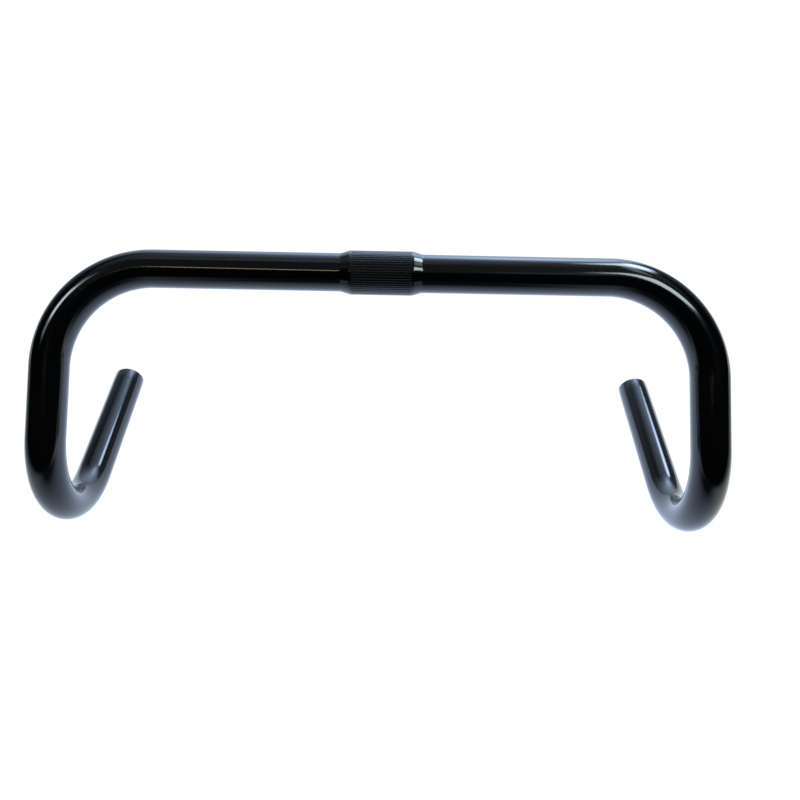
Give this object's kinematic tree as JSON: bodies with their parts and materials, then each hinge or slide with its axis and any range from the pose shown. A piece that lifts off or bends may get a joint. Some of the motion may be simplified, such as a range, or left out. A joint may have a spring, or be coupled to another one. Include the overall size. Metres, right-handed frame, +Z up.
{
  "type": "drop handlebar",
  "caption": "Bicycle drop handlebar in gloss black steel tube, with level drops and a grooved clamp sleeve for a quill or threadless stem.",
  "frame": {"origin": "middle of the stem clamp, on the tube's axis", "axes": "+X along the clamp axis towards the rider's left hand when riding along -Y, -Y the way the bar reaches forward, +Z up with both drops level"},
  "size_m": [0.432, 0.1654, 0.1799],
  "materials": {
    "tube_paint": "gloss",
    "sleeve_paint": "gloss"
  },
  "bodies": {
    "root": {"bar_tube": "tube_paint", "clamp_sleeve": "sleeve_paint"}
  },
  "joints": []
}
